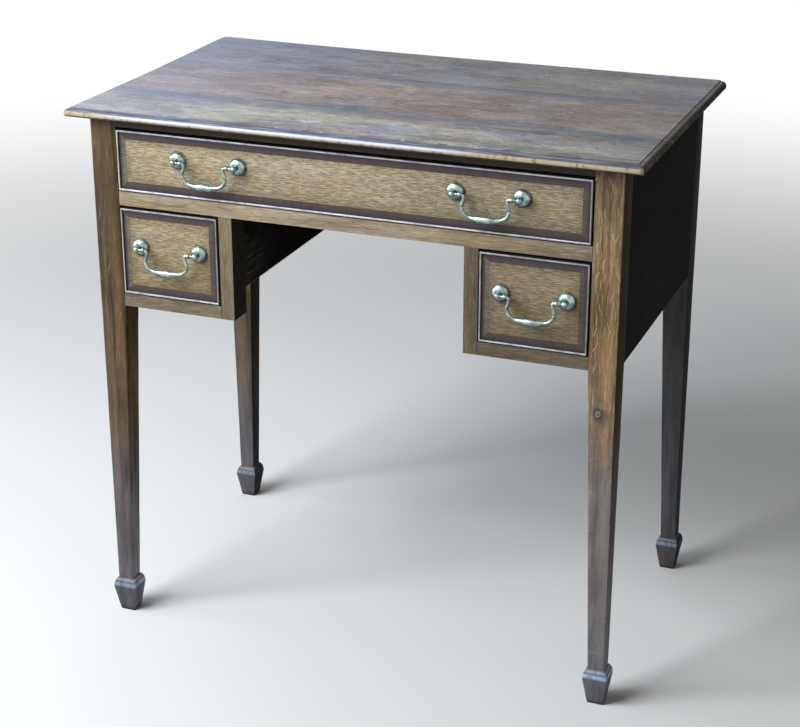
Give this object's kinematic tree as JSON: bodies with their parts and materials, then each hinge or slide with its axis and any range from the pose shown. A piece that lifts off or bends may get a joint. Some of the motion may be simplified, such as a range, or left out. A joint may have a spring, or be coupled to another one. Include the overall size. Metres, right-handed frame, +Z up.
{
  "type": "kneehole lowboy",
  "caption": "Oak kneehole lowboy: a long drawer over two small drawers, banded and cock-beaded fronts, brass bail handles, moulded top, tapered legs with spade feet.",
  "frame": {"origin": "centre of the overall box, on the floor", "axes": "+X to the viewer's right along the width, +Y to the back, the drawers face -Y, +Z up"},
  "size_m": [0.8, 0.475, 0.772],
  "materials": {
    "oak_top": "worn wax polish, grey-brown",
    "oak_frame": "worn wax polish",
    "oak_side": "dark wax polish",
    "oak_field": "wax polish, golden",
    "secondary_timber": "bare, dry",
    "mahogany_band": "wax polish, dark red-brown",
    "bead_timber": "wax polish, worn along the nose",
    "brass": "polished, with a greenish patina"
  },
  "bodies": {
    "carcase": {"top_front_board": "oak_top", "top_middle_board": "oak_top", "top_rear_board": "oak_top", "leg_front_left": "oak_frame", "leg_front_right": "oak_frame", "leg_rear_left": "oak_frame", "leg_rear_right": "oak_frame", "side_panel_left": "oak_side", "side_panel_right": "oak_side", "back_board": "oak_side", "top_rail": "oak_frame", "middle_rail": "oak_frame", "lower_rail_left": "oak_frame", "lower_rail_right": "oak_frame", "kneehole_stile_left": "oak_frame", "kneehole_stile_right": "oak_frame", "kneehole_board_left": "oak_side", "kneehole_board_right": "oak_side", "long_runner_left": "secondary_timber", "long_runner_right": "secondary_timber", "small_runner_left": "secondary_timber", "small_runner_right": "secondary_timber", "small_bearer_left": "secondary_timber", "small_bearer_right": "secondary_timber"},
    "long_drawer": {"long_drawer_front": "oak_field", "long_drawer_cock_bead": "bead_timber", "long_drawer_cross_band": "mahogany_band", "long_drawer_side_left": "secondary_timber", "long_drawer_side_right": "secondary_timber", "long_drawer_back": "secondary_timber", "long_drawer_bottom": "secondary_timber", "long_left_handle_rose_left": "brass", "long_left_handle_rose_right": "brass", "long_right_handle_rose_left": "brass", "long_right_handle_rose_right": "brass"},
    "long_left_handle_bail": {"long_left_handle_bail": "brass"},
    "long_right_handle_bail": {"long_right_handle_bail": "brass"},
    "small_left_drawer": {"small_left_drawer_front": "oak_field", "small_left_drawer_cock_bead": "bead_timber", "small_left_drawer_cross_band": "mahogany_band", "small_left_drawer_side_left": "secondary_timber", "small_left_drawer_side_right": "secondary_timber", "small_left_drawer_back": "secondary_timber", "small_left_drawer_bottom": "secondary_timber", "small_left_handle_rose_left": "brass", "small_left_handle_rose_right": "brass"},
    "small_left_handle_bail": {"small_left_handle_bail": "brass"},
    "small_right_drawer": {"small_right_drawer_front": "oak_field", "small_right_drawer_cock_bead": "bead_timber", "small_right_drawer_cross_band": "mahogany_band", "small_right_drawer_side_left": "secondary_timber", "small_right_drawer_side_right": "secondary_timber", "small_right_drawer_back": "secondary_timber", "small_right_drawer_bottom": "secondary_timber", "small_right_handle_rose_left": "brass", "small_right_handle_rose_right": "brass"},
    "small_right_handle_bail": {"small_right_handle_bail": "brass"}
  },
  "joints": [
    {"name": "long_drawer_slide", "type": "slide", "parent": "carcase", "child": "long_drawer", "axis": [0, -1, 0], "range_m": [0, 0.32]},
    {"name": "long_left_handle_swing", "type": "hinge", "parent": "long_drawer", "child": "long_left_handle_bail", "pos_m": [-0.197, -0.23049, 0.709], "axis": [-1, 0, 0], "range_deg": [-12, 150]},
    {"name": "long_right_handle_swing", "type": "hinge", "parent": "long_drawer", "child": "long_right_handle_bail", "pos_m": [0.197, -0.23049, 0.709], "axis": [-1, 0, 0], "range_deg": [-12, 150]},
    {"name": "small_left_drawer_slide", "type": "slide", "parent": "carcase", "child": "small_left_drawer", "axis": [0, -1, 0], "range_m": [0, 0.32]},
    {"name": "small_left_handle_swing", "type": "hinge", "parent": "small_left_drawer", "child": "small_left_handle_bail", "pos_m": [-0.25975, -0.23049, 0.58], "axis": [-1, 0, 0], "range_deg": [-12, 150]},
    {"name": "small_right_drawer_slide", "type": "slide", "parent": "carcase", "child": "small_right_drawer", "axis": [0, -1, 0], "range_m": [0, 0.32]},
    {"name": "small_right_handle_swing", "type": "hinge", "parent": "small_right_drawer", "child": "small_right_handle_bail", "pos_m": [0.25975, -0.23049, 0.58], "axis": [-1, 0, 0], "range_deg": [-12, 150]}
  ]
}
